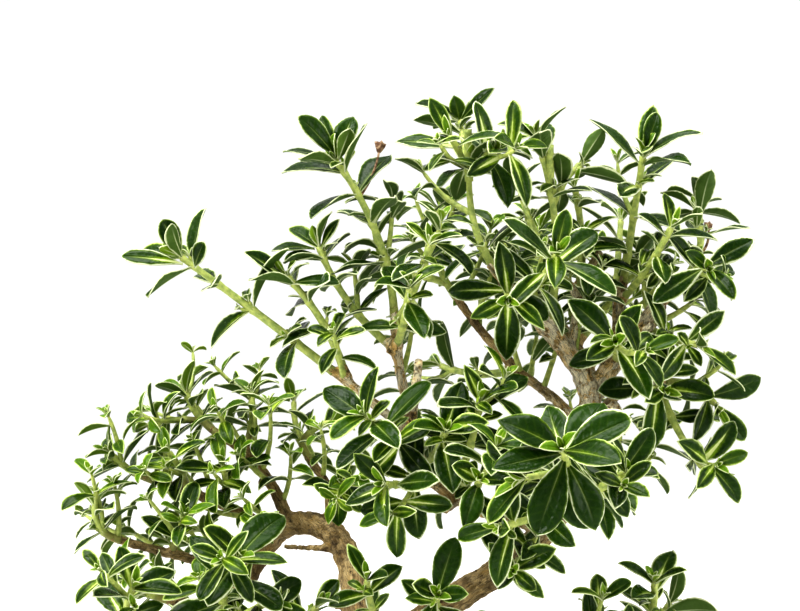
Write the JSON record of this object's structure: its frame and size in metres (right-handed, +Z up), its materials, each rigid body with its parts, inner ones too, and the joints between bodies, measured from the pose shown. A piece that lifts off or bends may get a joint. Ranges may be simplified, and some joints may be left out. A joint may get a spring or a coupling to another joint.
{
  "type": "serissa bonsai",
  "caption": "Variegated serissa bonsai: slanting trunk, bare arching branches and leafy shoots of small cream-edged leaves, growing in an oval glazed pot.",
  "frame": {"origin": "centre of the pot's flat foot, on the surface the pot stands on", "axes": "+Z up, -Y towards the tree's front, X along the pot's long side with +X to the viewer's right"},
  "size_m": [0.1964, 0.1601, 0.2889],
  "materials": {
    "glaze": "glossy",
    "soil": "loose, matt",
    "bark": "flaky bark",
    "leaf": "glossy leaves with cream edges"
  },
  "bodies": {
    "root": {"pot": "glaze", "soil": "soil", "trunk_and_branches": "bark", "shoot_arch_1": "leaf", "shoot_arch_left_1": "leaf", "shoot_arch_left_2": "leaf", "shoot_arch_left_3": "leaf", "shoot_arch_low_1": "leaf", "shoot_arch_low_2": "leaf", "shoot_arch_right_1": "leaf", "shoot_arch_right_2": "leaf", "shoot_arch_up_1": "leaf", "shoot_arch_up_2": "leaf", "shoot_arm_left_1": "leaf", "shoot_arm_left_2": "leaf", "shoot_arm_left_3": "leaf", "shoot_arm_left_4": "leaf", "shoot_arm_right_1": "leaf", "shoot_arm_right_2": "leaf", "shoot_arm_right_3": "leaf", "shoot_back_right_1": "leaf", "shoot_back_right_2": "leaf", "shoot_branch_mid_1": "leaf", "shoot_branch_mid_2": "leaf", "shoot_branch_mid_3": "leaf", "shoot_branch_mid_4": "leaf", "shoot_branch_mid_5": "leaf", "shoot_crown_back_1": "leaf", "shoot_crown_back_2": "leaf", "shoot_front_bough_1": "leaf", "shoot_front_bough_2": "leaf", "shoot_front_bough_3": "leaf", "shoot_front_bough_4": "leaf", "shoot_low_left_1": "leaf", "shoot_low_left_2": "leaf", "shoot_low_left_side_1": "leaf", "shoot_low_left_side_2": "leaf", "shoot_low_right_1": "leaf", "shoot_low_right_2": "leaf", "shoot_low_right_3": "leaf", "shoot_right_low_1": "leaf", "shoot_right_low_2": "leaf", "shoot_right_low_3": "leaf", "shoot_trunk_1": "leaf", "shoot_trunk_2": "leaf", "shoot_trunk_3": "leaf", "shoot_twig_back_1": "leaf", "shoot_twig_back_2": "leaf", "shoot_twig_back_3": "leaf", "shoot_twig_mid_left_1": "leaf", "shoot_twig_mid_left_2": "leaf", "shoot_twig_mid_up_1": "leaf", "shoot_twig_mid_up_2": "leaf", "shoot_twig_mid_up_3": "leaf", "shoot_twig_mid_up_4": "leaf", "shoot_twig_up_mid_1": "leaf", "shoot_twig_up_mid_2": "leaf", "shoot_twig_up_right_1": "leaf", "shoot_twig_up_right_2": "leaf", "shoot_twig_up_right_3": "leaf"}
  },
  "joints": []
}
